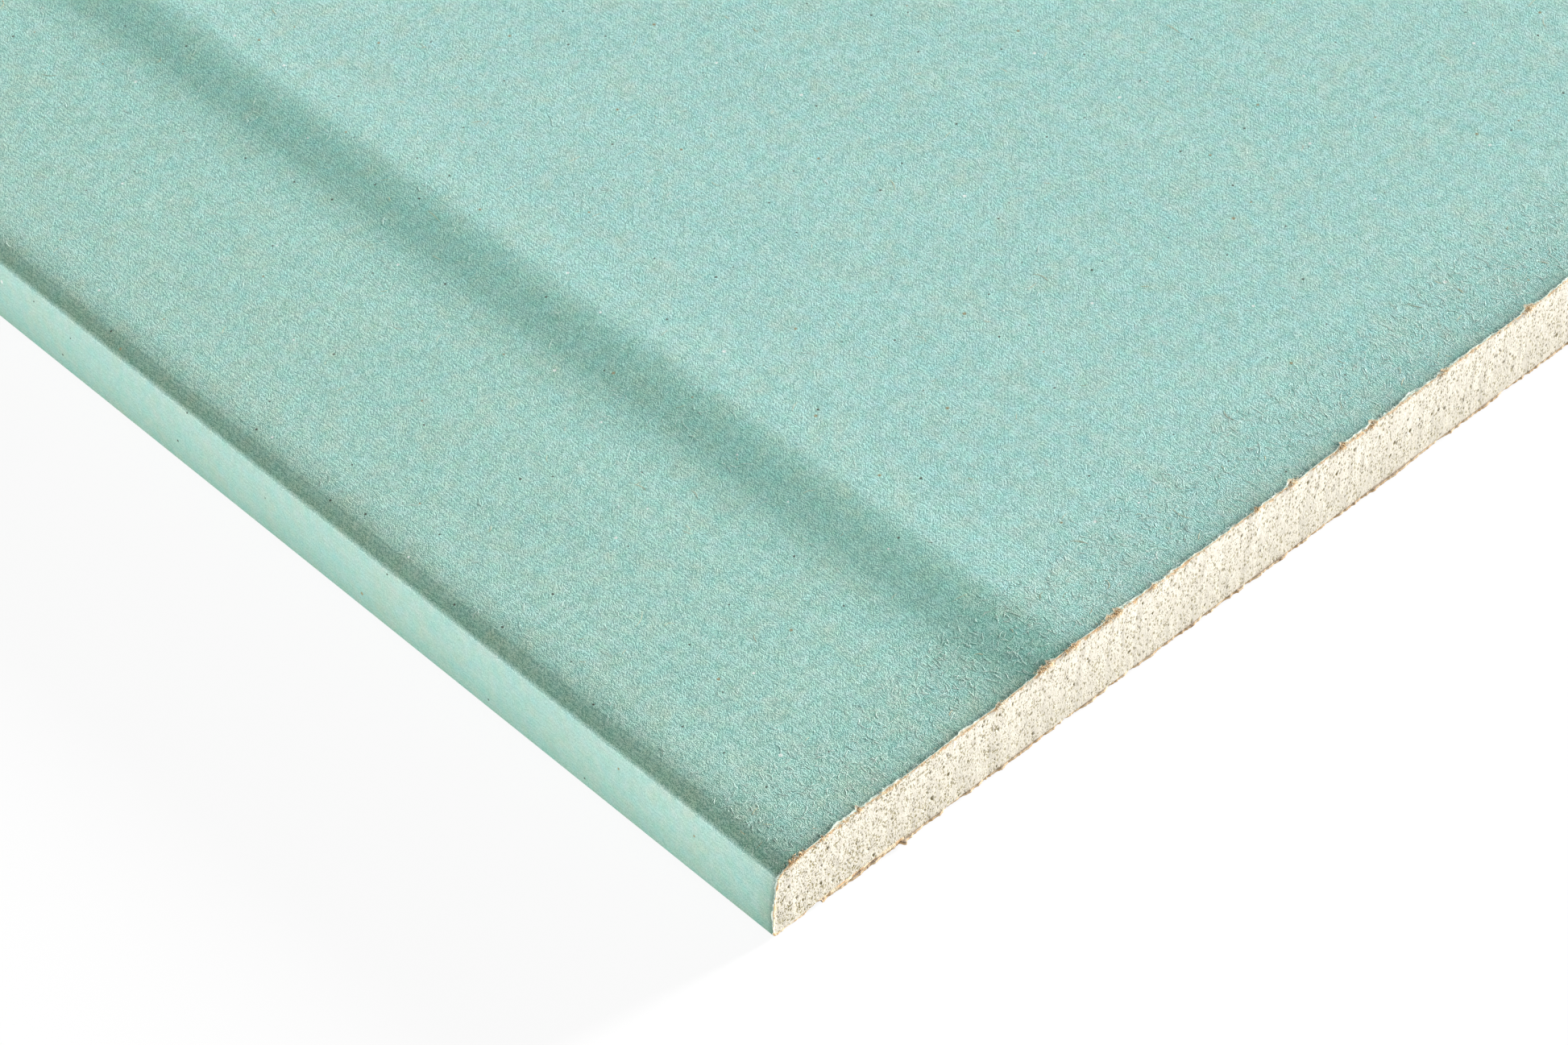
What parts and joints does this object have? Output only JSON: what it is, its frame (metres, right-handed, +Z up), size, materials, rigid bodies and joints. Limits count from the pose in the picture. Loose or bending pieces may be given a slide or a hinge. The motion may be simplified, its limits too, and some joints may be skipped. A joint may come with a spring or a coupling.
{
  "type": "drywall sheet",
  "caption": "Flat rectangular sheet of moisture-resistant drywall: gypsum core, green face paper wrapped round two tapered long edges, brown back paper lapped over the fold, plain cut ends.",
  "frame": {"origin": "middle of the underside, on the surface that the sheet lies on", "axes": "+X along the sheet's length, +Y across its width, +Z up through its thickness, out of the green face"},
  "size_m": [2.4, 1.2, 0.0125],
  "materials": {
    "gypsum": "matt, pitted",
    "green_face_paper": "matt, fibrous",
    "brown_back_paper": "matt, fibrous"
  },
  "bodies": {
    "root": {"gypsum_core": "gypsum", "face_paper": "green_face_paper", "back_paper": "brown_back_paper"}
  },
  "joints": []
}
